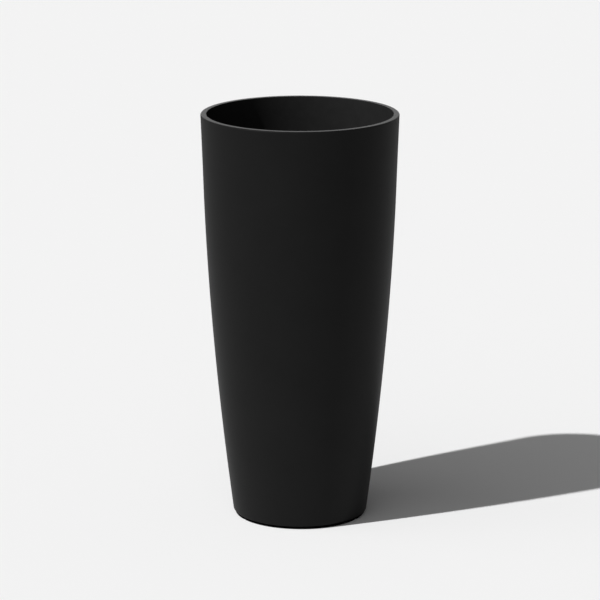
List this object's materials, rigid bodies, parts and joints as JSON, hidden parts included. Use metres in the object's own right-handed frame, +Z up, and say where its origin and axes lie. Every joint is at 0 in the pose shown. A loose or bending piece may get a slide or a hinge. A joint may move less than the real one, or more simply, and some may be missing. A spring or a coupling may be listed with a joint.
{
  "type": "tall planter",
  "caption": "Tall round tapered floor planter with a flat soft-edged lip, a lift-out shelf on bonded lugs, pull-out drain plugs and rubber foot strips.",
  "frame": {"origin": "on the ground, on the planter's axis", "axes": "+Z up along the planter's axis; +X through one finger slot of the shelf; +Y away from the picture's camera"},
  "size_m": [0.366, 0.366, 0.762],
  "materials": {
    "fiberglass": "matte near-black gel coat, faintly textured",
    "raw_laminate": "rough resin with a glass-mat grain",
    "shelf_plastic": "satin moulded plastic",
    "rubber": "matte rubber"
  },
  "bodies": {
    "planter": {"planter_shell": "fiberglass", "shelf_lug_1": "raw_laminate", "shelf_lug_2": "raw_laminate", "shelf_lug_3": "raw_laminate", "shelf_lug_4": "raw_laminate", "foot_strip_1": "rubber", "foot_strip_2": "rubber", "foot_strip_3": "rubber"},
    "shelf": {"lift_out_shelf": "shelf_plastic"},
    "plug_1": {"drain_plug_1": "rubber"},
    "plug_2": {"drain_plug_2": "rubber"},
    "plug_3": {"drain_plug_3": "rubber"}
  },
  "joints": [
    {"name": "shelf_lift", "type": "slide", "parent": "planter", "child": "shelf", "axis": [0, 0, 1], "range_m": [0, 0.45]},
    {"name": "plug_1_pull", "type": "slide", "parent": "planter", "child": "plug_1", "axis": [0, 0, 1], "range_m": [0, 0.25]},
    {"name": "plug_2_pull", "type": "slide", "parent": "planter", "child": "plug_2", "axis": [0, 0, 1], "range_m": [0, 0.25]},
    {"name": "plug_3_pull", "type": "slide", "parent": "planter", "child": "plug_3", "axis": [0, 0, 1], "range_m": [0, 0.25]}
  ]
}
